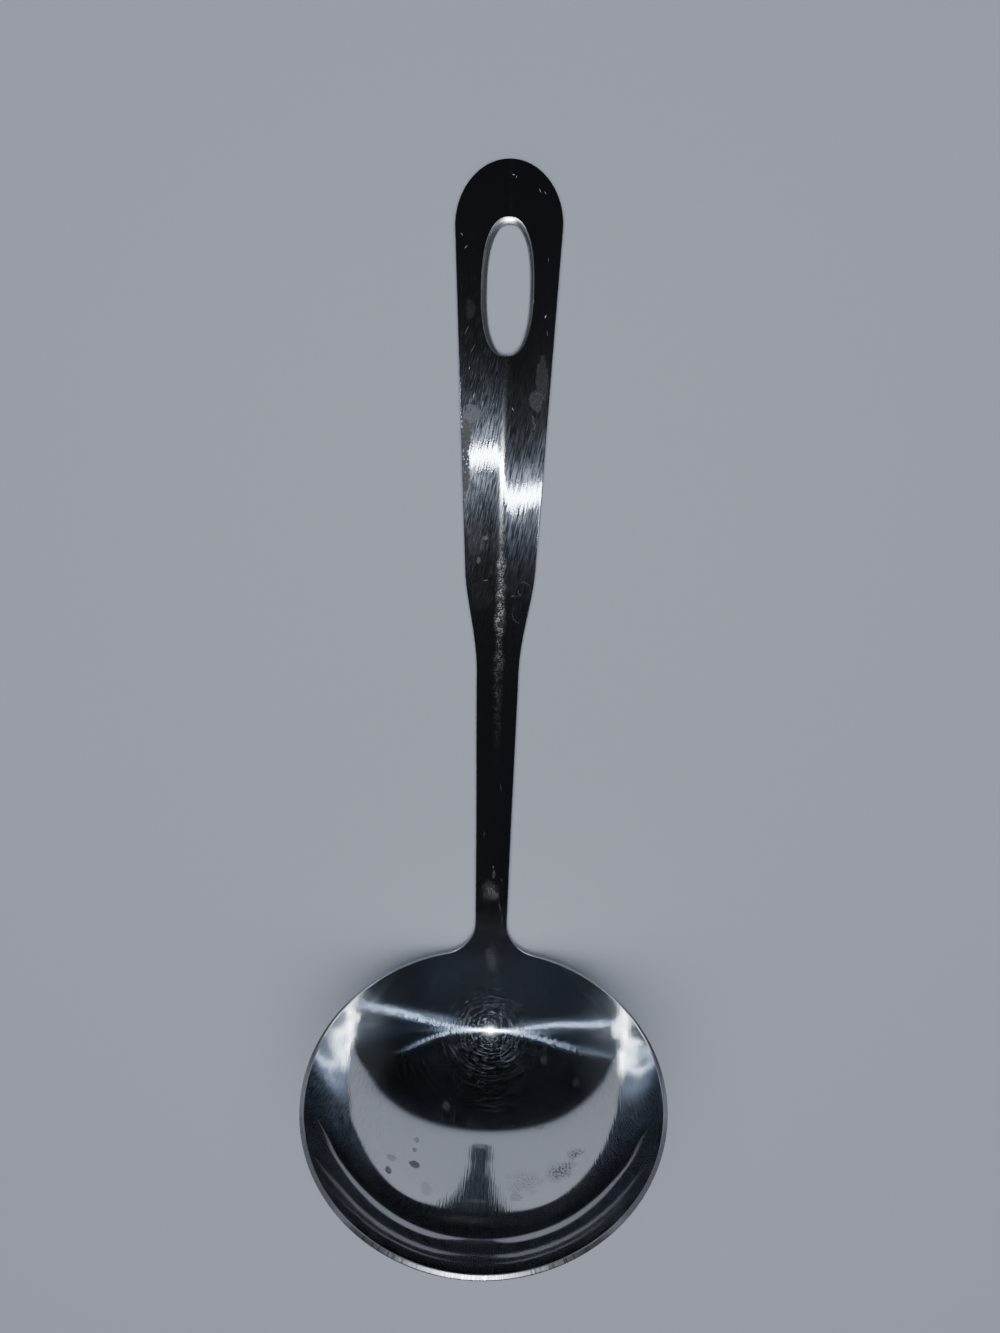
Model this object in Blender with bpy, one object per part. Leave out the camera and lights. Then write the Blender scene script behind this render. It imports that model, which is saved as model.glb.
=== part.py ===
"""Soup ladle in polished sheet steel, lying as it rests on a table.

Two pieces: the pressed bowl with its short neck tab, and the ridged handle
that is butt-welded to the tab. Metres, +Z up. The origin is on the table
under the middle of the ladle's box; +Y runs from the bowl to the handle's tip.

Both pieces are one sheet. Each is drawn as its underside, and the sheet's
thickness is then laid on the inner side. Along the handle, d is the distance
from the line where the bowl's sphere touches the table.
"""
import math

import bmesh
import bpy
from mathutils import Vector

for old in list(bpy.data.objects):
    bpy.data.objects.remove(old, do_unlink=True)

# ---- sheet and weld
SHEET = 0.0012                      # sheet thickness
WELD_AT = 0.00254                   # d of the butt weld across the neck
WELD_GAP = 0.0003                   # clearance between the two pieces there

# ---- bowl: close to a spherical cap whose axis leans over towards the handle
RIM_RADIUS = 0.045                  # outside radius at the rim
CENTRE_OVER_RIM = 0.022             # sphere centre above the rim plane
BOWL_TILT = math.radians(68.5)      # axis from the vertical
FULL = 0.0050                       # the walls stand fuller than the sphere: all round,
FORE_AND_AFT = 0.0024               # more so in front and behind than at the sides,
THREE_WAY = 0.0032                  # and more so towards the handle than away from it
FILLET = 0.0078                     # radius between rim and neck

# ---- handle, widths as half widths
NECK_HALF = 0.0045                  # neck at d = 0
NECK_TAPER = 0.01475                # growth of the neck along d
BLADE_HALF = 0.0135                 # blade at the start of the rounded tip
BLADE_TAPER = 0.0497                # growth of the blade along d
SHOULDER_START = 0.0758
SHOULDER_END = 0.1033
TIP_START = 0.1888
TIP_LENGTH = 0.0156

# ---- hanging slot, an egg-shaped superellipse
SLOT_AT = 0.1742
SLOT_HALF_LENGTH = 0.01645
SLOT_HALF_WIDTH = 0.00635
SLOT_POWER = 2.4

# ---- the crease: a low ridge along the handle, its edges on the table, flat at the tip
RIDGE_SLOPE = math.tan(math.radians(8.5))   # flanks, close to the ridge
RIDGE_SOFT = 0.0010                 # rounding of the ridge
RIDGE_FLARE = 5.0                   # flanks flatten outwards, per metre
RIDGE_IN = (0.025, 0.075)           # fades in along the neck
RIDGE_OUT = (0.150, 0.188)          # fades out towards the tip

# ---- mesh density
BOWL_RINGS = 11
BOWL_SPOKES = 46                    # round the rim, outside the neck
TAB_COLUMNS = 8
STRIP_ROWS = 30
SLOT_SIDE = 8
SLOT_TIP = 14
SLOT_RINGS = 3

# ---- derived
SPHERE = math.hypot(RIM_RADIUS, CENTRE_OVER_RIM)
RIM_ANGLE = math.atan2(RIM_RADIUS, CENTRE_OVER_RIM)
RIM_TO_TOUCH = SPHERE * (BOWL_TILT - RIM_ANGLE)
TIP = TIP_START + TIP_LENGTH
STRIP_END = SLOT_AT - SLOT_HALF_LENGTH - 0.0042


def proud(polar, turn):
    """How far the bowl's wall stands outside the sphere: nothing at the pole and the rim."""
    t = polar / RIM_ANGLE
    shape = FULL + FORE_AND_AFT * math.cos(2 * turn) + THREE_WAY * t * math.cos(3 * turn)
    return (1.0 - t * t) ** 2 * t * t * shape


# the bowl's farthest point behind the line where it touches the table, and that line
BACK = max((SPHERE + proud(RIM_ANGLE * k / 200, math.pi)) * math.sin(RIM_ANGLE * k / 200 + BOWL_TILT) for k in range(200))
TOUCH_Y = -(TIP - BACK) / 2


def smooth(t):
    t = min(max(t, 0.0), 1.0)
    return t * t * (3.0 - 2.0 * t)


def half_width(d):
    """Half the sheet's width at d, from the rim fillets to the tip."""
    neck = NECK_HALF + NECK_TAPER * d
    blade = BLADE_HALF - BLADE_TAPER * (TIP_START - d)
    run = SHOULDER_END - SHOULDER_START
    w = neck + (blade - neck) * smooth((d - SHOULDER_START) / run)
    past_rim = d + RIM_TO_TOUCH
    if past_rim < FILLET:
        w += FILLET - math.sqrt(FILLET ** 2 - (FILLET - past_rim) ** 2)
    if d > TIP_START:
        w = BLADE_HALF * math.sqrt(max(0.0, 1.0 - ((d - TIP_START) / TIP_LENGTH) ** 2))
    return w


def flank(x):
    """Drop from the ridge's top to x."""
    return RIDGE_SLOPE * (math.hypot(x, RIDGE_SOFT) - RIDGE_SOFT) - RIDGE_FLARE * x * x


def underside(x, d):
    """Height of the sheet's underside past the touching line."""
    bowl_curve = SPHERE - math.sqrt(SPHERE ** 2 - x * x)
    ridge = flank(half_width(min(d, TIP_START))) - flank(x)
    rise = smooth((d - RIDGE_IN[0]) / (RIDGE_IN[1] - RIDGE_IN[0]))
    fall = smooth((d - RIDGE_OUT[0]) / (RIDGE_OUT[1] - RIDGE_OUT[0]))
    return (bowl_curve + (ridge - bowl_curve) * rise) * (1.0 - fall)


def on_sheet(x, d):
    return Vector((x, TOUCH_Y + d, underside(x, d)))


def on_bowl(polar, turn):
    """Point on the outside of the bowl; turn 0 is towards the handle."""
    r = SPHERE + proud(polar, turn)
    x = r * math.sin(polar) * math.sin(turn)
    along = r * math.sin(polar) * math.cos(turn)
    down = r * math.cos(polar)
    s, c = math.sin(BOWL_TILT), math.cos(BOWL_TILT)
    return Vector((x, TOUCH_Y + along * c - down * s, SPHERE - along * s - down * c))


def on_tab(x, past_rim):
    """Point on the tab, past_rim beyond the rim measured on the sheet."""
    if past_rim >= RIM_TO_TOUCH:
        return on_sheet(x, past_rim - RIM_TO_TOUCH)
    side = math.asin(x / SPHERE)
    rim_here = math.acos(math.cos(RIM_ANGLE) / math.cos(side))
    level = past_rim / RIM_TO_TOUCH
    polar = rim_here + (BOWL_TILT - rim_here) * level
    lean = BOWL_TILT - polar
    r = SPHERE * math.cos(side)
    return Vector((x, TOUCH_Y - r * math.sin(lean), SPHERE - r * math.cos(lean)))


def quad(bm, a, b, c, d):
    bm.faces.new((a, b, c, d))


def bowl_mesh():
    bm = bmesh.new()
    base = half_width(-RIM_TO_TOUCH)
    turns = [math.asin((2 * k / TAB_COLUMNS - 1) * base / RIM_RADIUS) for k in range(TAB_COLUMNS + 1)]
    edge = turns[-1]
    step = (2 * math.pi - 2 * edge) / BOWL_SPOKES
    turns += [edge + step * k for k in range(1, BOWL_SPOKES)]
    count = len(turns)

    pole = bm.verts.new(on_bowl(0.0, 0.0))
    rings = []
    for i in range(1, BOWL_RINGS + 1):
        rings.append([bm.verts.new(on_bowl(RIM_ANGLE * i / BOWL_RINGS, t)) for t in turns])
    for k in range(count):
        j = (k + 1) % count
        bm.faces.new((pole, rings[0][k], rings[0][j]))
        for low, high in zip(rings, rings[1:]):
            quad(bm, low[k], high[k], high[j], low[j])

    # the tab grows out of the rim between the two fillets
    end = RIM_TO_TOUCH + WELD_AT - WELD_GAP / 2
    turn_touch = math.acos(1 - RIM_TO_TOUCH / FILLET)
    turn_end = math.acos(1 - end / FILLET)
    stops = [turn_touch * k / 4 for k in range(1, 5)]
    stops += [turn_touch + (turn_end - turn_touch) * k / 2 for k in (1, 2)]
    last = rings[-1][:TAB_COLUMNS + 1]
    for stop in stops:
        past = FILLET * (1 - math.cos(stop))
        w = half_width(past - RIM_TO_TOUCH)
        row = [bm.verts.new(on_tab((2 * k / TAB_COLUMNS - 1) * w, past)) for k in range(TAB_COLUMNS + 1)]
        for k in range(TAB_COLUMNS):
            quad(bm, last[k], row[k], row[k + 1], last[k + 1])
        last = row
    return bm


def handle_mesh():
    bm = bmesh.new()
    start = WELD_AT + WELD_GAP / 2
    last = None
    for i in range(STRIP_ROWS + 1):
        d = start + (STRIP_END - start) * i / STRIP_ROWS
        w = half_width(d)
        row = [bm.verts.new(on_sheet((2 * k / TAB_COLUMNS - 1) * w, d)) for k in range(TAB_COLUMNS + 1)]
        if last:
            for k in range(TAB_COLUMNS):
                quad(bm, last[k], row[k], row[k + 1], last[k + 1])
        last = row

    # outline of the blade round the slot, from the right-hand side to the left
    outline = []
    for i in range(1, SLOT_SIDE + 1):
        d = STRIP_END + (TIP_START - STRIP_END) * i / SLOT_SIDE
        outline.append((half_width(d), d))
    for i in range(1, SLOT_TIP):
        a = math.pi * i / SLOT_TIP
        outline.append((BLADE_HALF * math.cos(a), TIP_START + TIP_LENGTH * math.sin(a)))
    for i in range(SLOT_SIDE, 0, -1):
        d = STRIP_END + (TIP_START - STRIP_END) * i / SLOT_SIDE
        outline.append((-half_width(d), d))
    width = half_width(STRIP_END)
    across = [((2 * k / TAB_COLUMNS - 1) * width, STRIP_END) for k in range(TAB_COLUMNS + 1)]

    loop = across + outline
    inner = []
    for x, d in loop:
        reach = TIP - SLOT_AT if d > SLOT_AT else SLOT_AT - STRIP_END
        a = math.atan2((d - SLOT_AT) / reach, x / BLADE_HALF)
        c, s = math.cos(a), math.sin(a)
        power = 2.0 / SLOT_POWER
        inner.append((math.copysign(abs(c) ** power, c) * SLOT_HALF_WIDTH,
                      SLOT_AT + math.copysign(abs(s) ** power, s) * SLOT_HALF_LENGTH))
    rings = [last + [bm.verts.new(on_sheet(x, d)) for x, d in outline]]
    for r in range(1, SLOT_RINGS + 1):
        f = r / SLOT_RINGS
        rings.append([bm.verts.new(on_sheet(xo + (xi - xo) * f, do + (di - do) * f))
                      for (xo, do), (xi, di) in zip(loop, inner)])
    count = len(loop)
    for out, ins in zip(rings, rings[1:]):
        for k in range(count):
            j = (k + 1) % count
            quad(bm, out[k], ins[k], ins[j], out[j])
    return bm


def steel(name, colour, roughness):
    mat = bpy.data.materials.new(name)
    mat.use_nodes = True
    shader = mat.node_tree.nodes["Principled BSDF"]
    shader.inputs["Base Color"].default_value = (*colour, 1.0)
    shader.inputs["Metallic"].default_value = 1.0
    shader.inputs["Roughness"].default_value = roughness
    return mat


def piece(name, bm, material):
    mesh = bpy.data.meshes.new(name)
    bm.normal_update()
    bm.to_mesh(mesh)
    bm.free()
    mesh.materials.append(material)
    obj = bpy.data.objects.new(name, mesh)
    bpy.context.scene.collection.objects.link(obj)
    solid = obj.modifiers.new("sheet", "SOLIDIFY")
    solid.thickness = SHEET
    solid.offset = -1.0
    solid.use_even_offset = True
    mesh.shade_smooth()
    mesh.set_sharp_from_angle(angle=math.radians(40))
    return obj


piece("bowl", bowl_mesh(), steel("bowl_steel", (0.60, 0.60, 0.62), 0.18))
piece("handle", handle_mesh(), steel("handle_steel", (0.60, 0.60, 0.62), 0.24))
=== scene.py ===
"""Looks of the ladle: finely meshed sheet-steel pieces, their finish, floor, light and camera."""
import math

import bpy
import numpy as np
from mathutils import Matrix, Vector


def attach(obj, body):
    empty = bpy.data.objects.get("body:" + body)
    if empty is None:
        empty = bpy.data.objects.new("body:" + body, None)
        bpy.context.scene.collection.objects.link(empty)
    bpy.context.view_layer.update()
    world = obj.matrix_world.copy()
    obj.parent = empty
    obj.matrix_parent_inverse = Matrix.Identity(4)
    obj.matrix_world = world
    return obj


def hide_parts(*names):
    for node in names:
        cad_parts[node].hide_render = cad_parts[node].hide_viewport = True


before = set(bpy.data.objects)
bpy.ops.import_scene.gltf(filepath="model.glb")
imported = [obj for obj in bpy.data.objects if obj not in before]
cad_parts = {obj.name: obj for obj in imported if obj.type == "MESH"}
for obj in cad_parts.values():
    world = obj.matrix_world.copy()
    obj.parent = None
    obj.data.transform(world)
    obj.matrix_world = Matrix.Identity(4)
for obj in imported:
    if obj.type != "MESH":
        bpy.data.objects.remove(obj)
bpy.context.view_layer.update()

# ---------------------------------------------------------------- dimensions, as in the model
SHEET = 0.0012
WELD_AT = 0.00254
RIM_RADIUS = 0.045
CENTRE_OVER_RIM = 0.022
BOWL_TILT = math.radians(68.5)
FULL, FORE_AND_AFT, THREE_WAY = 0.0050, 0.0024, 0.0032
FILLET = 0.0078
NECK_HALF, NECK_TAPER = 0.0045, 0.01475
BLADE_HALF, BLADE_TAPER = 0.0135, 0.0497
SHOULDER_START, SHOULDER_END = 0.0758, 0.1033
TIP_START, TIP_LENGTH = 0.1888, 0.0156
SLOT_AT, SLOT_HALF_LENGTH, SLOT_HALF_WIDTH, SLOT_POWER = 0.1742, 0.01645, 0.00635, 2.4
RIDGE_SLOPE = math.tan(math.radians(8.5))
RIDGE_SOFT, RIDGE_FLARE = 0.0010, 5.0
RIDGE_IN, RIDGE_OUT = (0.025, 0.075), (0.150, 0.188)

SPHERE = math.hypot(RIM_RADIUS, CENTRE_OVER_RIM)
RIM_ANGLE = math.atan2(RIM_RADIUS, CENTRE_OVER_RIM)
RIM_TO_TOUCH = SPHERE * (BOWL_TILT - RIM_ANGLE)
TOUCH_ARC = SPHERE * BOWL_TILT
TIP = TIP_START + TIP_LENGTH
BACK = max((SPHERE + (1.0 - t * t) ** 2 * t * t * (FULL + FORE_AND_AFT - THREE_WAY * t)) * math.sin(RIM_ANGLE * t + BOWL_TILT)
           for t in np.arange(200) / 200.0)
TOUCH_Y = -(TIP - BACK) / 2
STRIP_END = SLOT_AT - SLOT_HALF_LENGTH - 0.0042

ROUND = 0.00028        # rounding of the sheet's edges


def smooth(t):
    t = np.clip(t, 0.0, 1.0)
    return t * t * (3.0 - 2.0 * t)


def half_width(d):
    d = np.asarray(d, float)
    neck = NECK_HALF + NECK_TAPER * d
    blade = BLADE_HALF - BLADE_TAPER * (TIP_START - d)
    w = neck + (blade - neck) * smooth((d - SHOULDER_START) / (SHOULDER_END - SHOULDER_START))
    past = d + RIM_TO_TOUCH
    fillet = FILLET - np.sqrt(np.maximum(0.0, FILLET ** 2 - (FILLET - past) ** 2))
    w = np.where(past < FILLET, w + fillet, w)
    tip = BLADE_HALF * np.sqrt(np.maximum(0.0, 1.0 - ((d - TIP_START) / TIP_LENGTH) ** 2))
    return np.where(d > TIP_START, tip, w)


def flank(x):
    return RIDGE_SLOPE * (np.hypot(x, RIDGE_SOFT) - RIDGE_SOFT) - RIDGE_FLARE * x * x


def ripple(a, b, seed):
    """A few hundredths of a millimetre of unevenness left by pressing and polishing."""
    rng = np.random.default_rng(seed)
    z = np.zeros_like(a)
    for _ in range(9):
        turn, wave, phase = rng.uniform(0, math.tau), rng.uniform(0.016, 0.045), rng.uniform(0, math.tau)
        z += (wave / 0.03) ** 1.5 * np.sin(math.tau * (a * math.cos(turn) + b * math.sin(turn)) / wave + phase)
    return z / 9.0


def press_marks(a, b, seed):
    """Shorter unevenness in the bowl's two side walls, where the sheet was drawn in most."""
    rng = np.random.default_rng(seed + 1)
    z = np.zeros_like(a)
    for _ in range(7):
        turn, wave, phase = rng.uniform(0, math.tau), rng.uniform(0.009, 0.016), rng.uniform(0, math.tau)
        z += (wave / 0.012) ** 1.5 * np.sin(math.tau * (a * math.cos(turn) + b * math.sin(turn)) / wave + phase)
    return z / 7.0 * smooth((np.abs(a) - 0.024) / 0.010)


# ---------------------------------------------------------------- the two sheets
EASE = 0.0075          # the bowl's curve runs out over this length on both sides of the touching line


def eased(s):
    """Extra height where the curve runs out; s is measured along the sheet from the touching line."""
    t = np.clip(s, -EASE, EASE)
    return (EASE - t) ** 3 / (12 * EASE * SPHERE) - np.minimum(t, 0.0) ** 2 / (2 * SPHERE)


def handle_surface(p):
    """Underside of the handle at (x, d)."""
    x, d = p[:, 0], p[:, 1]
    bowl_curve = SPHERE - np.sqrt(SPHERE ** 2 - x * x)
    ridge = flank(half_width(np.minimum(d, TIP_START))) - flank(x)
    rise = smooth((d - RIDGE_IN[0]) / (RIDGE_IN[1] - RIDGE_IN[0]))
    fall = smooth((d - RIDGE_OUT[0]) / (RIDGE_OUT[1] - RIDGE_OUT[0]))
    z = (bowl_curve + (ridge - bowl_curve) * rise) * (1.0 - fall) + eased(d)
    return np.stack([x, TOUCH_Y + d, z], 1)


def bowl_surface(p):
    """Outside of the bowl and its tab at (x, arc from the pole's cross line)."""
    x, b = p[:, 0], p[:, 1]
    r = SPHERE * np.cos(np.arcsin(x / SPHERE))
    lean = np.maximum(0.0, BOWL_TILT - b / SPHERE)
    beyond = np.maximum(0.0, b - TOUCH_ARC)
    # unit way out from the sphere's middle: sideways, towards the handle, and along the bowl's axis
    side, fore, deep = x / SPHERE, r / SPHERE * np.sin(BOWL_TILT - lean), r / SPHERE * np.cos(BOWL_TILT - lean)
    flatwise = np.maximum(np.hypot(side, fore), 1e-9)
    t = np.minimum(np.arctan2(flatwise, deep) / RIM_ANGLE, 1.0)
    u, v = t * fore / flatwise, t * side / flatwise
    proud = (1.0 - t * t) ** 2 * (FULL * t * t + FORE_AND_AFT * (u * u - v * v) + THREE_WAY * u * (u * u - 3.0 * v * v))
    r = r * (1.0 + proud / SPHERE)
    x = x * (1.0 + proud / SPHERE)
    return np.stack([x, TOUCH_Y - r * np.sin(lean) + beyond, SPHERE - r * np.cos(lean) + eased(b - TOUCH_ARC)], 1)


def surface_normal(surface, p, step=2e-5):
    du = surface(p + [step, 0]) - surface(p - [step, 0])
    dv = surface(p + [0, step]) - surface(p - [0, step])
    n = np.cross(du, dv)
    return n / np.linalg.norm(n, axis=1)[:, None]


class Flat:
    """A sheet drawn flat: points, how far inside an edge each lies, that edge's outward way, and faces."""

    def __init__(self):
        self.p, self.out, self.turn, self.drop, self.faces = [], [], [], [], []

    def add(self, p, out=(0.0, 0.0), turn=(0.0, 0.0), drop=(0.0, 0.0)):
        """turn: how far the normals of the upper and lower side lean outwards; drop: how far they sink in."""
        self.p.append((float(p[0]), float(p[1])))
        self.out.append((float(out[0]), float(out[1])))
        self.turn.append(turn)
        self.drop.append(drop)
        return len(self.p) - 1

    def quad(self, a, b, c, d):
        self.faces.append((a, b, c, d))

    def tri(self, a, b, c):
        self.faces.append((a, b, c))


EDGE_TURNS = [math.radians(v) for v in (90, 67.5, 45, 22.5, 0)]
LIP_TURNS = [math.radians(v) for v in (90, 85, 78, 68, 56, 44, 32, 20, 11, 5, 0)]
LIP_POWER = 1.3        # 2 would be a round lip, 1 a flat chamfer


def band(flat, line, outward, closed, lip=None, deep=None, skirt=0.0006):
    """Rows of points that follow an edge inwards: its rounding, or its lip of given widths and depths, then one row clear of it."""
    rows = []
    for turn in EDGE_TURNS if lip is None else LIP_TURNS:
        row = []
        for k, (p, o) in enumerate(zip(line, outward)):
            s, c = math.sin(turn), math.cos(turn)
            if lip is None:
                row.append(flat.add(p - o * ROUND * (1.0 - s), o, (turn, turn), (ROUND * (1.0 - c),) * 2))
            else:
                end = turn > math.radians(89)
                s, c = s ** (2.0 / LIP_POWER), max(c, 0.0) ** (2.0 / LIP_POWER)
                lean = math.atan2(deep[k] * s ** (LIP_POWER - 1.0), lip[k] * c ** (LIP_POWER - 1.0))
                row.append(flat.add(p - o * lip[k] * (1.0 - s), o,
                                    (math.radians(90) if end else lean, math.radians(60) if end else 0.0),
                                    (deep[k] * (1.0 - c), 0.0001 if end else 0.0)))
        rows.append(row)
    reach = [ROUND] * len(line) if lip is None else lip
    rows.append([flat.add(p - o * (q + skirt), o) for p, o, q in zip(line, outward, reach)])
    n = len(line)
    for a, b in zip(rows, rows[1:]):
        for k in range(n if closed else n - 1):
            j = (k + 1) % n
            flat.quad(a[k], a[j], b[j], b[k])
    return rows


def outward_of(line, closed):
    """Unit normals of a line that runs anticlockwise."""
    line = np.asarray(line)
    if closed:
        t = np.roll(line, -1, 0) - np.roll(line, 1, 0)
    else:
        t = np.gradient(line, axis=0)
    t /= np.linalg.norm(t, axis=1)[:, None]
    return np.stack([t[:, 1], -t[:, 0]], 1)


def even(line, step, closed=False):
    """The same line with points about step apart."""
    line = np.asarray(line, float)
    if closed:
        line = np.vstack([line, line[:1]])
    run = np.r_[0.0, np.cumsum(np.linalg.norm(np.diff(line, axis=0), axis=1))]
    n = max(4, int(round(run[-1] / step)))
    at = np.linspace(0.0, run[-1], n + 1)
    out = np.stack([np.interp(at, run, line[:, 0]), np.interp(at, run, line[:, 1])], 1)
    return out[:-1] if closed else out


def flat_bowl():
    flat = Flat()
    # outline, anticlockwise: right-hand edge of the tab's end is last, so the weld line is the gap
    past = np.r_[np.linspace(RIM_TO_TOUCH + WELD_AT, RIM_TO_TOUCH, 12)[:-1],
                 FILLET * (1 - np.cos(np.linspace(math.acos(1 - RIM_TO_TOUCH / FILLET), 0.0, 60)))]
    w = half_width(past - RIM_TO_TOUCH)
    rim_here = np.arccos(math.cos(RIM_ANGLE) / np.cos(np.arcsin(w / SPHERE)))
    level = past / RIM_TO_TOUCH
    arc = SPHERE * (rim_here + (BOWL_TILT - rim_here) * np.minimum(level, 1.0)) + np.maximum(0.0, past - RIM_TO_TOUCH)
    left = np.stack([-w, arc], 1)
    start = math.asin(w[-1] / RIM_RADIUS)
    turn = np.linspace(start, math.tau - start, 400)[1:-1]
    x = -RIM_RADIUS * np.sin(turn)
    rim = np.arccos(np.clip(math.cos(RIM_ANGLE) / np.cos(np.arcsin(x / SPHERE)), -1, 1)) * np.sign(np.cos(turn))
    line = np.vstack([left, np.stack([x, SPHERE * rim], 1), (left * [-1, 1])[::-1]])
    fine = even(line, 0.00075)
    outward = outward_of(fine, False)
    outward[0], outward[-1] = (-1.0, 0.0), (1.0, 0.0)
    rows = band(flat, fine, outward, False)
    inner = rows[-1]

    # across the weld, between the two ends of the edge band
    left_end = [r[0] for r in rows]
    right_end = [r[-1] for r in rows]
    xa, xb = flat.p[right_end[-1]][0], flat.p[left_end[-1]][0]
    across = [flat.add((xa + (xb - xa) * k / 14.0, TOUCH_ARC + WELD_AT)) for k in range(1, 14)]
    loop = inner + across
    n = len(loop)
    ends = np.array([flat.p[k] for k in loop])
    core = np.array([0.0, 0.0])
    last = loop
    for f in np.linspace(1.0, 0.0, 60)[1:-1]:
        f = f ** 0.9
        ring = [flat.add(core + (e - core) * f) for e in ends]
        for k in range(n):
            j = (k + 1) % n
            flat.quad(last[k], last[j], ring[j], ring[k])
        last = ring
    pole = flat.add(core)
    for k in range(n):
        flat.tri(last[k], last[(k + 1) % n], pole)
    return flat


def flat_handle():
    flat = Flat()
    d = np.linspace(WELD_AT, TIP_START, 500)
    a = np.linspace(0.0, math.pi, 160)
    right = np.stack([half_width(d), d], 1)
    tip = np.stack([BLADE_HALF * np.cos(a), TIP_START + TIP_LENGTH * np.sin(a)], 1)[1:-1]
    left = right[::-1] * [-1, 1]
    line = np.vstack([right, tip, left])
    fine = even(line, 0.0009)
    outward = outward_of(fine, False)
    outward[0], outward[-1] = (1.0, 0.0), (-1.0, 0.0)
    rows = band(flat, fine, outward, False)
    inner = rows[-1]
    n = len(inner)

    # the strip between the two edge bands, up to the slot
    count = next(k for k in range(n) if flat.p[inner[k]][1] > STRIP_END)
    across = 24
    last = None
    for k in range(count + 1):
        r, l = inner[k], inner[n - 1 - k]
        pr, pl = np.array(flat.p[r]), np.array(flat.p[l])
        row = [r] + [flat.add(pr + (pl - pr) * i / across) for i in range(1, across)] + [l]
        if last:
            for i in range(across):
                flat.quad(last[i], row[i], row[i + 1], last[i + 1])
        last = row

    # round the slot
    loop = inner[count:n - count] + last[1:-1][::-1]
    # slot outline, one point for each point of the loop
    slot = []
    low = flat.p[last[0]][1]
    for k in loop:
        x, dd = flat.p[k]
        reach = TIP - SLOT_AT if dd > SLOT_AT else SLOT_AT - low
        ang = math.atan2((dd - SLOT_AT) / reach, x / BLADE_HALF)
        c, s = math.cos(ang), math.sin(ang)
        power = 2.0 / SLOT_POWER
        slot.append((math.copysign(abs(c) ** power, c) * SLOT_HALF_WIDTH,
                     SLOT_AT + math.copysign(abs(s) ** power, s) * SLOT_HALF_LENGTH))
    slot = np.array(slot)
    outward = -outward_of(slot, True)
    # the slot's edge is drawn down into a lip, wider on the left and at the top, where it is shallow
    inset = 0.00095 + 0.00024 * outward[:, 0] - 0.00042 * outward[:, 1]
    deep = np.minimum(0.0009, 0.00085 + 0.00036 * outward[:, 1])
    edge_rows = band(flat, slot + outward * inset[:, None], outward, True, inset + 0.0003, deep)
    m = len(loop)
    # band() winds for an outer edge: a hole runs the other way
    done = len(flat.faces) - (len(edge_rows) - 1) * m
    flat.faces[done:] = [tuple(reversed(f)) for f in flat.faces[done:]]
    ins = np.array([flat.p[k] for k in edge_rows[-1]])
    outs = np.array([flat.p[k] for k in loop])
    last = loop
    steps = 12
    for i in range(1, steps + 1):
        ring = edge_rows[-1] if i == steps else [flat.add(o + (e - o) * i / steps) for o, e in zip(outs, ins)]
        for k in range(m):
            j = (k + 1) % m
            flat.quad(last[k], last[j], ring[j], ring[k])
        last = ring
    return flat


def sheet_object(name, flat, surface, wave, seed, pressed=0.0):
    """Gives a flat sheet its form and thickness, with rounded edges and true normals."""
    def uneven(q):
        return ripple(q[:, 0], q[:, 1], seed) * wave + press_marks(q[:, 0], q[:, 1], seed) * pressed

    p = np.array(flat.p)
    out = np.array(flat.out)
    turn_top, turn_low = np.array(flat.turn).T
    drop_top, drop_low = np.array(flat.drop).T

    base = surface(p)
    up = surface_normal(surface, p)
    way = surface(p + out * 1e-5) - base
    length = np.linalg.norm(way, axis=1)
    way = np.where(length[:, None] > 1e-9, way / np.maximum(length, 1e-9)[:, None], 0.0)
    top = base + up * (SHEET - drop_top + uneven(p))[:, None]
    low = base + up * drop_low[:, None]

    # normals that include the ripple
    def lifted(q):
        return surface(q) + surface_normal(surface, q) * uneven(q)[:, None]

    up_top = surface_normal(lifted, p, 1e-4)
    n_top = up_top * np.cos(turn_top)[:, None] + way * np.sin(turn_top)[:, None]
    n_low = -up * np.cos(turn_low)[:, None] + way * np.sin(turn_low)[:, None]
    n_top /= np.linalg.norm(n_top, axis=1)[:, None]
    n_low /= np.linalg.norm(n_low, axis=1)[:, None]

    count = len(p)
    faces = [tuple(f) for f in flat.faces] + [tuple(k + count for k in reversed(f)) for f in flat.faces]
    used = {}
    for f in flat.faces:
        for a, b in zip(f, f[1:] + f[:1]):
            used[(a, b)] = used.get((a, b), 0) + 1
    rim = [(a, b) for (a, b) in used if (b, a) not in used]
    side_first = len(faces)
    for a, b in rim:
        faces.append((b, a, a + count, b + count))

    mesh = bpy.data.meshes.new(name)
    mesh.from_pydata(np.vstack([top, low]).tolist(), [], faces)
    mesh.validate()
    mesh.update()
    mesh.shade_smooth()

    vertex_normals = np.vstack([n_top, n_low])
    turned = turn_top > math.radians(80)
    loops = np.zeros((len(mesh.loops), 3))
    cut = np.zeros(len(mesh.polygons), int)
    full_turn = np.r_[turn_top, turn_low]
    for poly in mesh.polygons:
        ids = list(poly.vertices)
        flat_end = poly.index >= side_first and not all(turned[v % count] for v in ids)
        for li, v in zip(poly.loop_indices, ids):
            loops[li] = poly.normal if flat_end else vertex_normals[v]
        if poly.index >= side_first or min(full_turn[v] for v in ids) > math.radians(4):
            cut[poly.index] = 1
    mesh.normals_split_custom_set(loops.tolist())
    mesh.polygons.foreach_set("material_index", cut)

    # flat coordinates in metres, for the way the brushing runs
    uv = mesh.uv_layers.new(name="sheet")
    both = np.vstack([p, p])
    corner = np.array([l.vertex_index for l in mesh.loops])
    uv.data.foreach_set("uv", (both[corner] * 5.0 + 0.5).astype(np.float32).ravel())

    obj = bpy.data.objects.new(name, mesh)
    bpy.context.scene.collection.objects.link(obj)
    return obj


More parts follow.
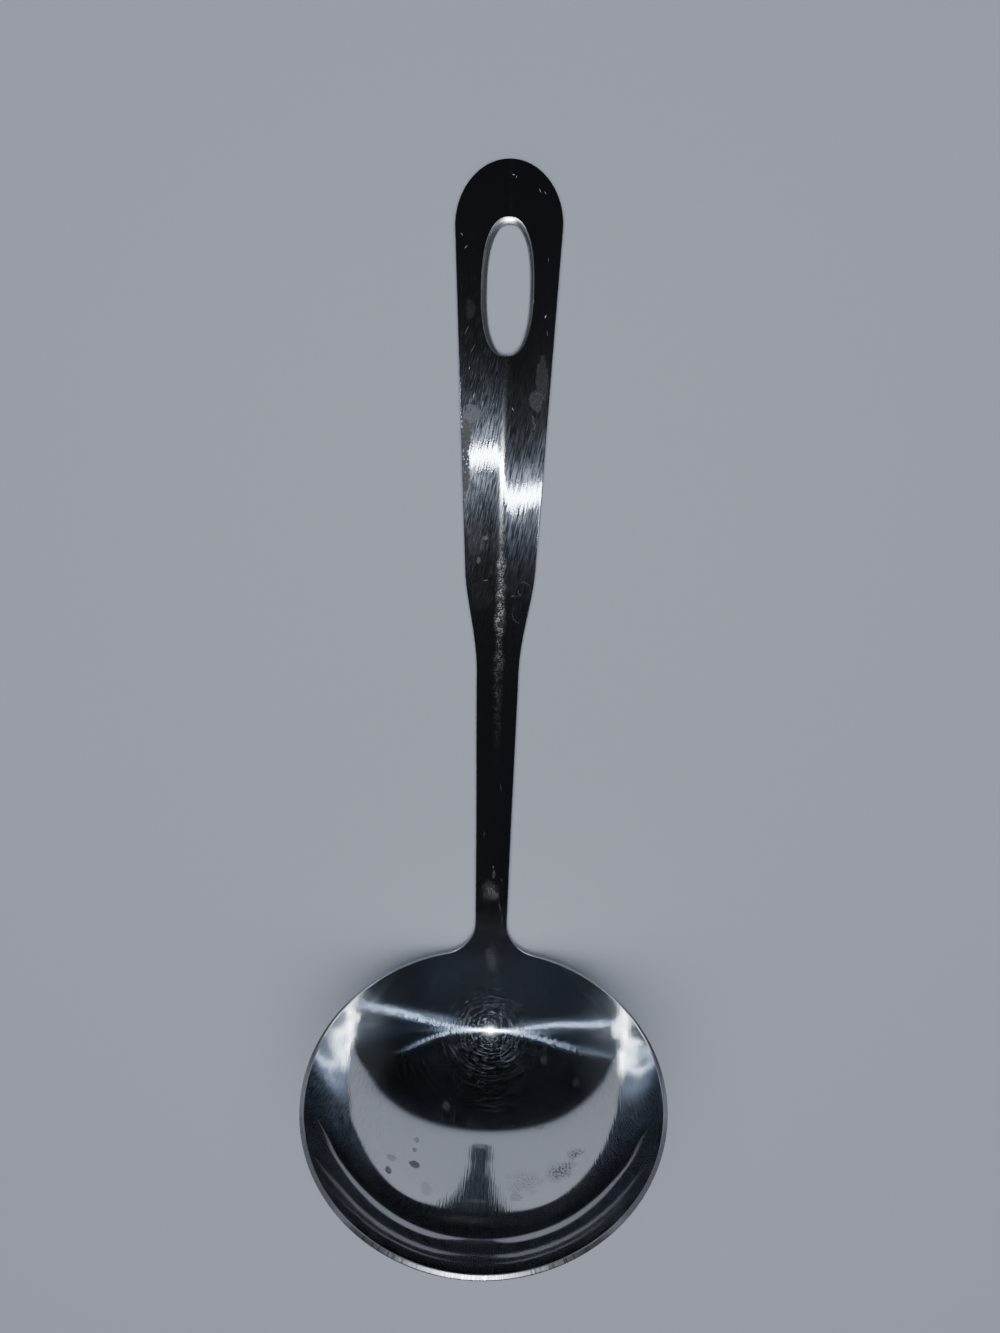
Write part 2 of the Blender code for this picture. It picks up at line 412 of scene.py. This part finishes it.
bowl = sheet_object("bowl_sheet", flat_bowl(), bowl_surface, 0.00003, 11, 0.00003)
handle = sheet_object("handle_sheet", flat_handle(), handle_surface, 0.000012, 23)


# ---------------------------------------------------------------- finish
class Finish:
    """A node material; every argument may be a number or another node's output."""

    def __init__(self, name):
        self.mat = bpy.data.materials.new(name)
        self.mat.use_nodes = True
        self.tree = self.mat.node_tree
        self.tree.nodes.clear()

    def node(self, kind, **settings):
        n = self.tree.nodes.new("ShaderNode" + kind)
        for key, value in settings.items():
            setattr(n, key, value)
        return n

    def put(self, socket, value):
        if isinstance(value, bpy.types.NodeSocket):
            self.tree.links.new(value, socket)
        else:
            socket.default_value = value

    def math(self, operation, *values, clamp=False):
        n = self.node("Math", operation=operation, use_clamp=clamp)
        for socket, value in zip(n.inputs, values):
            self.put(socket, value)
        return n.outputs[0]

    def add(self, *values):
        total = values[0]
        for value in values[1:]:
            total = self.math("ADD", total, value)
        return total

    def mul(self, *values):
        total = values[0]
        for value in values[1:]:
            total = self.math("MULTIPLY", total, value)
        return total

    def vec(self, x, y, z=0.0):
        n = self.node("CombineXYZ")
        for socket, value in zip(n.inputs, (x, y, z)):
            self.put(socket, value)
        return n.outputs[0]

    def ramp(self, value, low, high, start=0.0, end=1.0):
        n = self.node("MapRange", interpolation_type="SMOOTHSTEP")
        for key, v in (("Value", value), ("From Min", low), ("From Max", high), ("To Min", start), ("To Max", end)):
            self.put(n.inputs[key], v)
        return n.outputs["Result"]

    def noise(self, vector, detail=2.0, dimensions="2D", roughness=0.5):
        n = self.node("TexNoise", noise_dimensions=dimensions)
        self.put(n.inputs["Vector"], vector)
        n.inputs["Scale"].default_value = 1.0
        n.inputs["Detail"].default_value = detail
        n.inputs["Roughness"].default_value = roughness
        return n.outputs[0]

    def flat(self):
        """Place on the flat sheet, in millimetres: across, along."""
        n = self.node("UVMap", uv_map="sheet")
        split = self.node("SeparateXYZ")
        self.put(split.inputs[0], n.outputs[0])
        return [self.math("MULTIPLY_ADD", split.outputs[k], 200.0, -100.0) for k in (0, 1)]

    def lines(self, x, d, lean, width, length, detail=1.0, shift=0.0):
        """Noise drawn out along lines that lean from the length of the sheet."""
        c, s = math.cos(math.radians(lean)), math.sin(math.radians(lean))
        across = self.math("MULTIPLY_ADD", x, c / width, self.mul(d, -s / width))
        along = self.math("MULTIPLY_ADD", x, s / length, self.mul(d, c / length))
        return self.noise(self.vec(self.add(across, shift), self.add(along, shift * 0.37)), detail)

    def reach(self, place, middle, half, lean=0.0):
        """Distance from a mark's middle, 1 at the end of its half sizes; lean turns it clockwise."""
        n = self.node("Mapping", vector_type="TEXTURE")
        self.put(n.inputs["Vector"], place)
        n.inputs["Location"].default_value = (*middle, 0.0)
        n.inputs["Rotation"].default_value = (0.0, 0.0, math.radians(-lean))
        n.inputs["Scale"].default_value = (*half, 1.0)
        far = self.node("VectorMath", operation="LENGTH")
        self.put(far.inputs[0], n.outputs[0])
        return far.outputs["Value"]

    def drops(self, x, d, marks):
        """Dried drops and smears: (middle, half sizes, strength inside, strength of the rim, or None for a speckled smear)."""
        place = self.vec(x, d)
        wobble = self.math("MULTIPLY_ADD", self.noise(self.vec(self.mul(x, 0.42), self.mul(d, 0.42)), 4.0), 0.9, -0.45)
        grain = self.ramp(self.noise(self.vec(self.mul(x, 1.9), self.mul(d, 1.9)), 3.0), 0.25, 0.75, 0.55, 1.25)
        speckle = self.ramp(self.noise(self.vec(self.mul(x, 2.4), self.mul(d, 2.0)), 4.0, roughness=0.65), 0.38, 0.66, 0.12, 1.8)
        broken = self.ramp(self.noise(self.vec(self.mul(x, 0.33), self.mul(d, 0.33), 7.0), 1.0, dimensions="3D"), 0.44, 0.56)
        total = None
        for middle, half, inside, rim in marks:
            r = self.add(self.reach(place, middle, half), wobble)
            if rim is None:
                film = self.mul(self.ramp(r, -0.1, 1.1, inside, 0.0), speckle)
            else:
                film = self.mul(self.ramp(r, 0.84 if rim else 0.62, 1.05, inside, 0.0), grain)
            if rim:
                thin = 0.20 / min(half)
                edge = self.ramp(self.math("ABSOLUTE", self.math("SUBTRACT", r, 1.0)), 0.2 * thin, thin, rim, 0.0)
                film = self.add(film, self.mul(edge, broken))
            total = film if total is None else self.math("MAXIMUM", total, film)
        return total

    def nicks(self, x, d, marks):
        """Single nicks: (middle, half sizes, lean, strength)."""
        place = self.vec(x, d)
        total = None
        for middle, half, lean, strength in marks:
            mark = self.ramp(self.reach(place, middle, half, lean), 0.45, 1.0, strength, 0.0)
            total = mark if total is None else self.math("MAXIMUM", total, mark)
        return total

    def dots(self, x, d, size, half=0.42):
        """Specks of uneven size, about size apart; half is their half width as a share of that."""
        n = self.node("TexVoronoi", voronoi_dimensions="2D")
        self.put(n.inputs["Vector"], self.vec(self.mul(x, 1.0 / size), self.mul(d, 1.0 / size)))
        n.inputs["Scale"].default_value = 1.0
        return self.ramp(n.outputs["Distance"], 0.38 * half, half, 1.0, 0.0)

    def tangent(self):
        n = self.node("Tangent", direction_type="UV_MAP", uv_map="sheet")
        return n.outputs[0]

    def bump(self, height, distance, normal=None):
        n = self.node("Bump")
        n.inputs["Strength"].default_value = 1.0
        n.inputs["Distance"].default_value = distance
        self.put(n.inputs["Height"], height)
        if normal is not None:
            self.put(n.inputs["Normal"], normal)
        return n.outputs[0]

    def metal(self, colour, roughness, anisotropy=0.0, rotation=0.0, normal=None, metallic=1.0):
        n = self.node("BsdfPrincipled")
        for key, value in (("Base Color", colour), ("Roughness", roughness), ("Metallic", metallic),
                           ("Anisotropic", anisotropy), ("Anisotropic Rotation", rotation)):
            self.put(n.inputs[key], value)
        if normal is not None:
            self.put(n.inputs["Normal"], normal)
        if anisotropy:
            self.put(n.inputs["Tangent"], self.tangent())
        return n.outputs[0]

    def streak(self, colour, roughness, anisotropy, rotation, normal=None, spread="GGX"):
        """Light thrown sideways by brush lines."""
        n = self.node("BsdfAnisotropic", distribution=spread)
        for key, value in (("Color", colour), ("Roughness", roughness), ("Anisotropy", anisotropy), ("Rotation", rotation)):
            self.put(n.inputs[key], value)
        if normal is not None:
            self.put(n.inputs["Normal"], normal)
        self.put(n.inputs["Tangent"], self.tangent())
        return n.outputs[0]

    def blend(self, share, first, second):
        n = self.node("MixShader")
        self.put(n.inputs[0], share)
        self.put(n.inputs[1], first)
        self.put(n.inputs[2], second)
        return n.outputs[0]

    def done(self, surface):
        n = self.node("OutputMaterial")
        self.put(n.inputs["Surface"], surface)
        return self.mat


STEEL = (0.70, 0.69, 0.675, 1.0)
BRUSHED = (0.56, 0.60, 0.68, 1.0)    # fine lines throw back a little more blue
FINE = (0.50, 0.60, 0.76, 1.0)

HANDLE_DROPS = (
    # The two strongest marks, at x near -10 mm from d 120 to 146 mm, lay a dark, dull, non-metal film along the
    # handle's left edge, so the highlight stops short of that edge.
    ((-8.3, 143.4), (2.4, 2.3), 0.42, 0.22), ((-9.9, 137.5), (2.0, 5.0), 0.85, 0.0),
    ((-10.0, 129.0), (1.8, 8.5), 0.85, 0.0), ((8.0, 147.1), (1.9, 2.8), 0.13, 0.05),
    ((9.4, 152.0), (1.6, 6.0), 0.09, 0.02), ((5.4, 140.8), (2.3, 3.2), 0.0, 0.16),
    ((6.4, 98.5), (1.8, 1.8), 0.0, 0.14), ((5.5, 93.0), (2.0, 3.6), 0.0, 0.12),
    ((-4.0, 111.9), (0.9, 0.7), 0.32, 0.0), ((-5.6, 106.0), (0.6, 1.0), 0.28, 0.0),
    ((-6.4, 111.5), (2.2, 4.2), 0.05, 0.05), ((8.0, 114.0), (2.2, 5.0), 0.10, 0.0),
    ((-4.6, 97.0), (2.6, 4.4), 0.02, 0.03), ((-9.2, 169.0), (1.4, 2.8), 0.05, 0.0),
    ((-0.4, 13.4), (3.0, 3.6), 0.30, None), ((0.9, 12.7), (1.7, 1.5), 0.34, None), ((0.4, 18.6), (0.5, 1.4), 0.16, 0.0),
)
HANDLE_NICKS = (
    ((0.8, 200.6), (0.385, 0.17), 0, 0.5), ((1.5, 200.1), (0.074, 0.44), 30, 0.5), ((7.4, 197.1), (0.087, 0.66), -25, 0.5),
    ((8.7, 196.6), (0.074, 0.55), -30, 0.4), ((-11.7, 186.6), (0.074, 0.55), -40, 0.5), ((-10.6, 183.6), (0.074, 0.66), 40, 0.5),
    ((10.0, 181.0), (0.062, 0.66), 0, 0.25), ((6.6, 171.1), (0.074, 0.77), 0, 0.4), ((9.7, 167.5), (0.175, 0.55), 20, 0.45),
    ((10.3, 163.5), (0.062, 0.88), -10, 0.25), ((-10.0, 163.8), (0.062, 1.65), 28, 0.2), ((-8.3, 159.4), (0.062, 1.54), 30, 0.2),
    ((-7.8, 147.9), (0.087, 0.88), 14, 0.5), ((-5.6, 146.0), (0.074, 0.77), 16, 0.4), ((-9.1, 154.6), (0.087, 0.44), 10, 0.4),
    ((2.0, 144.7), (0.099, 0.55), -30, 0.5), ((-3.8, 141.0), (0.087, 0.55), 10, 0.4), ((3.4, 96.8), (0.062, 0.77), 62, 0.3),
    ((-3.6, 100.8), (0.77, 0.07), -8, 0.35), ((7.1, 131.0), (1.43, 0.06), 12, 0.15), ((6.6, 129.6), (0.99, 0.06), 15, 0.18),
    ((1.9, 166.0), (0.05, 1.98), 4, 0.1), ((-2.6, 30.4), (0.062, 0.99), 12, 0.2), ((1.7, 44.0), (0.062, 1.43), -8, 0.2),
    ((2.4, 9.0), (0.056, 2.09), -14, 0.3), ((3.1, 5.2), (0.05, 2.42), -4, 0.26), ((0.2, 20.8), (0.074, 0.44), 0, 0.5), ((2.6, 17.0), (0.05, 0.99), -35, 0.25),
)
BOWL_DROPS = (
    ((-10.6, 12.4), (1.1, 1.3), 0.30, 0.16), ((15.9, 25.4), (1.0, 1.0), 0.18, 0.08),
    ((24.7, 18.4), (1.0, 1.1), 0.18, 0.10), ((14.9, 6.8), (1.4, 0.9), 0.26, 0.08),
    ((-23.7, -10.6), (1.0, 1.4), 0.90, 0.0), ((-23.5, -6.4), (1.3, 1.2), 0.45, 0.0),
    ((-17.8, 1.2), (0.8, 0.9), 0.50, 0.0), ((-18.0, -1.8), (0.7, 0.8), 0.65, 0.0),
    ((-17.6, -6.2), (1.5, 1.4), 0.90, 0.0), ((24.0, -3.4), (2.9, 2.2), 0.75, None),
    ((20.0, -7.7), (4.4, 3.8), 0.85, None), ((11.0, -9.0), (6.0, 4.5), 0.35, None), ((8.8, -13.0), (1.7, 1.3), 0.30, 0.22),
    ((-9.0, -15.0), (1.6, 1.0), 0.10, 0.12), ((-14.0, -12.6), (1.6, 2.2), 0.22, 0.0),
    ((3.4, 61.4), (1.2, 1.3), 0.05, 0.12), ((0.3, 53.2), (2.6, 5.2), 0.26, None), ((0.0, 55.4), (1.8, 1.8), 0.26, None),
)


def handle_steel():
    f = Finish("handle_steel")
    x, d = f.flat()
    # strokes lean to the right; each stroke leans a little differently
    strokes = f.lines(x, d, 10.0, 0.32, 5.0, detail=2.0)
    hair = f.lines(x, d, 10.0, 0.11, 7.0, shift=7.3)
    dashes = f.mul(f.ramp(f.lines(x, d, 13.0, 0.22, 3.2, detail=1.0, shift=3.9), 0.60, 0.74), f.ramp(x, -2.0, 1.5, 1.0, 0.3))
    # the ridge is worn dull and pitted, most of all above the shoulder
    across = f.math("ABSOLUTE", f.add(x, f.math("MULTIPLY_ADD", f.noise(f.vec(f.mul(d, 0.35), 3.0)), 1.0, -0.75)))
    patchy = f.noise(f.vec(f.mul(d, 0.16), 8.0), 2.0)
    side = f.mul(f.ramp(d, 100.0, 120.0, 1.5, 0.6), f.ramp(patchy, 0.3, 0.7, 0.7, 1.25))
    grit = f.ramp(f.noise(f.vec(f.mul(x, 0.8), f.mul(d, 0.6)), 2.0), 0.38, 0.60, 0.10, 1.0)
    grit = f.mul(grit, f.math("MAXIMUM", f.dots(x, d, 0.40), f.mul(f.dots(x, f.add(d, 40.3), 0.66), 0.8)))
    worn = f.mul(f.ramp(f.math("DIVIDE", across, side), 0.1, 1.0, 1.0, 0.0), f.add(grit, 0.07))
    worn = f.mul(worn, f.ramp(patchy, 0.35, 0.65, 0.6, 1.15))
    worn = f.mul(worn, f.add(f.ramp(d, 46.0, 70.0, 0.0, 0.06), f.ramp(d, 74.0, 92.0, 0.0, 0.14), f.ramp(d, 98.0, 114.0, 0.0, -0.08), f.ramp(d, 114.0, 130.0, 0.0, -0.108)))
    film = f.drops(x, d, HANDLE_DROPS)
    nicks = f.nicks(x, d, HANDLE_NICKS)
    normal = f.bump(f.add(strokes, f.mul(hair, 0.3)), 0.0000125)
    turn = f.math("MULTIPLY_ADD", strokes, -13.0 / 360.0, (-10.0 + 6.5) / 360.0)
    base = f.metal(STEEL, 0.06, normal=normal)
    dried = f.metal(f.ramp(film, 0.35, 0.75, 0.20, 0.09), 0.8, metallic=0.0)
    brush = f.streak(BRUSHED, 0.175, -0.90, turn, normal, spread="BECKMANN")
    haze = f.streak(BRUSHED, 0.30, -0.75, -10.0 / 360.0, normal)
    spark = f.streak(BRUSHED, 0.36, -0.50, -10.0 / 360.0, normal)
    pitted = f.metal(STEEL, 0.46, normal=normal)
    smears = f.ramp(f.noise(f.vec(f.mul(x, 0.16), f.mul(d, 0.09)), 3.0), 0.3, 0.7, 0.010, 0.040)
    # along the ridge, pits break up the shine
    crest = f.ramp(across, 0.15, 0.80, f.ramp(f.dots(x, d, 0.55), 0.0, 1.0, 0.15, 0.9), 1.0)
    smears = f.mul(smears, f.ramp(strokes, 0.36, 0.66, 0.25, 2.2), crest)
    body = f.blend(smears, f.blend(0.22, base, brush), haze)
    body = f.blend(f.mul(f.math("MULTIPLY_ADD", dashes, 0.05, f.ramp(strokes, 0.36, 0.66, 0.003, 0.016)), crest), body, spark)
    body = f.blend(f.math("MULTIPLY", film, 1.9, clamp=True), f.blend(worn, body, pitted), dried)
    raw = f.metal((0.8, 0.8, 0.82, 1.0), 0.5, metallic=0.2)
    return f.done(f.blend(nicks, body, raw))


def bowl_steel():
    f = Finish("bowl_steel")
    x, d = f.flat()
    one_way = f.lines(x, d, -13.0, 0.06, 4.0, detail=1.0)
    other_way = f.lines(x, d, 13.0, 0.06, 4.0, detail=1.0, shift=5.1)
    hair = f.lines(x, d, 1.0, 0.30, 13.0, detail=2.0, shift=2.2)
    fine = f.lines(x, d, -1.0, 0.07, 5.0, shift=9.4)
    normal = f.bump(hair, 0.000006)
    film = f.drops(x, d, BOWL_DROPS)
    base = f.metal(STEEL, 0.045, normal=normal)
    dried = f.metal(f.ramp(film, 0.35, 0.75, 0.20, 0.09), 0.8, metallic=0.0)
    # brushing in two ways that cross more steeply towards the sides, each strongest on one side, and a fan between them
    turn_one = f.add(f.ramp(x, -26.0, -8.0, 16.0 / 360.0, 4.0 / 360.0), f.ramp(x, 4.0, 18.0, 0.0, 5.0 / 360.0), f.ramp(x, 20.0, 30.0, 0.0, -2.0 / 360.0))
    turn_other = f.add(f.ramp(x, -26.0, -6.0, -12.5 / 360.0, -4.5 / 360.0), f.ramp(x, 6.0, 26.0, 0.0, -6.5 / 360.0))
    turn_one = f.math("MULTIPLY_ADD", one_way, 8.0 / 360.0, f.add(turn_one, -4.0 / 360.0))
    turn_other = f.math("MULTIPLY_ADD", other_way, 13.0 / 360.0, f.add(turn_other, -6.5 / 360.0))
    one = f.streak(FINE, 0.265, -0.88, turn_one, normal, spread="BECKMANN")
    other = f.streak(FINE, 0.265, -0.88, turn_other, normal, spread="BECKMANN")
    bite_one = f.ramp(f.lines(x, d, -10.0, 0.20, 4.0, detail=2.0, shift=8.8), 0.40, 0.62, 0.15, 2.2)
    bite_other = f.ramp(f.lines(x, d, 10.0, 0.20, 4.0, detail=2.0, shift=1.7), 0.40, 0.62, 0.15, 2.2)
    bite_one = f.mul(bite_one, f.add(f.ramp(x, -27.0, -12.0, 0.0, 0.038), f.ramp(x, 6.0, 26.0, 0.0, 0.034)))
    bite_other = f.mul(bite_other, f.add(f.ramp(x, -32.0, -8.0, 0.105, 0.038), f.ramp(x, 14.0, 30.0, 0.0, -0.026)))
    fan = f.streak(FINE, 0.16, -0.86, f.math("MULTIPLY_ADD", fine, 16.0 / 360.0, -8.0 / 360.0), normal)
    soft = f.streak(STEEL, 0.125, -0.80, 0.0, normal, spread="BECKMANN")
    # scouring has left rings of fine scratches on the wall across from the handle
    off_x, off_d = f.add(x, -0.6), f.add(d, -33.1)
    far = f.math("SQRT", f.math("MULTIPLY_ADD", off_x, off_x, f.mul(off_d, off_d)))
    about = f.math("ARCTAN2", off_d, off_x)
    loose = f.math("MULTIPLY_ADD", f.noise(f.vec(f.mul(x, 0.25), f.mul(d, 0.25)), 1.0), 0.9, far)
    ring = f.noise(f.vec(f.mul(loose, 4.2), f.mul(about, 1.7)), 0.0)
    thin_ring = f.noise(f.vec(f.mul(loose, 7.5), f.mul(about, 3.2), 4.0), 0.0, dimensions="3D")
    mark = f.math("MAXIMUM", f.ramp(ring, 0.70, 0.74), f.mul(f.ramp(thin_ring, 0.66, 0.70), 0.7))
    mark = f.mul(mark, f.ramp(far, 2.0, 18.0, 0.75, 0.2))
    # and specks, where it dug in
    mark = f.math("MAXIMUM", mark, f.mul(f.dots(x, d, 1.5, 0.10), f.ramp(f.noise(f.vec(f.mul(x, 0.3), f.mul(d, 0.3), 5.0), 1.0, dimensions="3D"), 0.48, 0.62, 0.0, 1.4)))
    scratch = f.streak(BRUSHED, 0.29, -0.72, f.mul(about, 1.0 / math.tau), normal)
    # the wall away from the handle is the brightest polished
    kept = f.ramp(d, -24.0, -6.0, 0.2, 1.0)
    lines = f.mul(f.ramp(hair, 0.35, 0.65, 0.6, 1.4), kept)
    body = f.blend(f.mul(lines, 0.09), base, soft)
    # a faint bloom of coarser strokes above the crossing
    bloom = f.streak(FINE, 0.36, -0.75, f.ramp(x, -4.0, 4.0, -12.0 / 360.0, 8.0 / 360.0), normal, spread="BECKMANN")
    around = f.mul(f.ramp(d, 29.0, 37.0), f.ramp(f.math("ABSOLUTE", x), 3.0, 14.0), f.ramp(fine, 0.35, 0.65, 0.5, 1.5))
    body = f.blend(f.mul(around, 0.045), body, bloom)
    bite_one, bite_other = f.mul(bite_one, kept), f.mul(bite_other, kept)
    body = f.blend(bite_other, f.blend(bite_one, f.blend(f.mul(lines, f.ramp(f.math("ABSOLUTE", x), 8.0, 20.0, 0.05, 0.008)), body, fan), one), other)
    return f.done(f.blend(film, f.blend(f.mul(mark, 0.034), body, scratch), dried))


def edge_steel(name, bare, shade, round_slot=False):
    """Sheared edges, ground and buffed: dull, with marks across them; bare is how much they shine as metal.

    Round the slot the marks run along the edge.
    """
    f = Finish(name)
    x, d = f.flat()
    if round_slot:
        side = f.math("POWER", f.math("ABSOLUTE", f.mul(x, 0.001 / SLOT_HALF_WIDTH)), SLOT_POWER)
        end = f.math("POWER", f.math("ABSOLUTE", f.mul(f.add(d, -1000.0 * SLOT_AT), 0.001 / SLOT_HALF_LENGTH)), SLOT_POWER)
        out = f.math("POWER", f.add(side, end), 1.0 / SLOT_POWER)
        marks = f.noise(f.vec(f.mul(out, 30.0), f.mul(x, 0.25), f.mul(d, 0.12)), 2.0, dimensions="3D")
        rough = f.ramp(marks, 0.3, 0.7, 0.18, 0.34)
    else:
        marks = f.noise(f.vec(f.mul(x, 3.0), f.mul(d, 3.0)), 4.0)
        rough = f.ramp(marks, 0.3, 0.7, 0.26, 0.44)
    normal = f.bump(marks, 0.000012)
    return f.done(f.metal((shade, shade, shade, 1.0), rough, normal=normal, metallic=bare))


for piece, node, mat, edge in ((bowl, "bowl", bowl_steel(), edge_steel("bowl_edge", 0.92, 0.40)),
                               (handle, "handle", handle_steel(), edge_steel("handle_edge", 0.84, 0.46, True))):
    piece.data.materials.append(mat)
    piece.data.materials.append(edge)
    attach(piece, "root")
    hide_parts(node)

# ---------------------------------------------------------------- floor
floor_mesh = bpy.data.meshes.new("floor")
floor_mesh.from_pydata([(-9, -9, 0), (9, -9, 0), (9, 9, 0), (-9, 9, 0)], [], [(0, 1, 2, 3)])
floor = bpy.data.objects.new("floor", floor_mesh)
floor.location.z = -0.00005
bpy.context.scene.collection.objects.link(floor)
floor_mat = bpy.data.materials.new("floor")
floor_mat.use_nodes = True
fb = floor_mat.node_tree.nodes["Principled BSDF"]
fb.inputs["Base Color"].default_value = (0.55, 0.555, 0.595, 1)
fb.inputs["Roughness"].default_value = 0.9
floor_mesh.materials.append(floor_mat)

# ---------------------------------------------------------------- camera
cam_data = bpy.data.cameras.new("camera")
cam_data.lens = 27.03
cam_data.sensor_width = 36.0
cam_data.clip_start = 0.005
camera = bpy.data.objects.new("camera", cam_data)
bpy.context.scene.collection.objects.link(camera)
EYE = Vector((0.004154, 0.050700, 0.264976))
forward = Vector((-0.01321, -0.18575, -0.98251)).normalized()
down = Vector((0.02872, -0.98226, 0.18531)).normalized()
right = down.cross(forward).normalized()
up = right.cross(forward).normalized()
camera.matrix_world = Matrix(((right.x, up.x, -forward.x, EYE.x), (right.y, up.y, -forward.y, EYE.y),
                              (right.z, up.z, -forward.z, EYE.z), (0, 0, 0, 1)))
bpy.context.scene.camera = camera


# ---------------------------------------------------------------- light
def area(name, at, towards, size, watts, colour=(1, 1, 1), shape="DISK"):
    data = bpy.data.lights.new(name, "AREA")
    data.shape = shape
    data.size = size
    data.energy = watts
    data.color = colour
    lamp = bpy.data.objects.new(name, data)
    lamp.location = at
    lamp.rotation_euler = (Vector(towards) - Vector(at)).to_track_quat("-Z", "Y").to_euler()
    bpy.context.scene.collection.objects.link(lamp)
    return lamp


key = area("key", EYE + Vector((-0.0154, 0.0, 0.0)), EYE + Vector((-0.0154, 0, 0)) + forward, 0.008, 0.68, (0.84, 0.90, 1.0))
key.visible_diffuse = False      # gives the steel its highlights; the floor has only the soft light
fill = area("fill", (0.0, 0.05, 1.2), (0.0, 0.05, 0.0), 1.4, 14.5, (0.84, 0.90, 1.0), "SQUARE")
fill.visible_glossy = False


class Room(Finish):
    """The studio round the object: dark overhead and in front, a pale wall behind the bowl, dim walls beside it."""

    def __init__(self):
        world = bpy.data.worlds.new("studio")
        bpy.context.scene.world = world
        world.use_nodes = True
        self.tree = world.node_tree
        split = self.node("SeparateXYZ")
        self.put(split.inputs[0], self.node("TexCoord").outputs["Generated"])
        x, y, z = split.outputs
        behind = self.mul(self.ramp(y, -0.75, -0.28, 0.35, 0.0), self.ramp(z, 0.50, 0.80, 1.0, 0.0))
        beside = self.mul(self.ramp(self.math("ABSOLUTE", x), 0.80, 0.97, 0.0, 0.035), self.ramp(z, 0.20, 0.55, 1.0, 0.0))
        sky = self.tree.nodes["Background"]
        sky.inputs["Color"].default_value = (0.82, 0.91, 1.08, 1.0)
        self.put(sky.inputs["Strength"], self.add(behind, beside, self.ramp(z, 0.70, 0.95, 0.003, 0.012)))


Room()

bpy.context.view_layer.update()
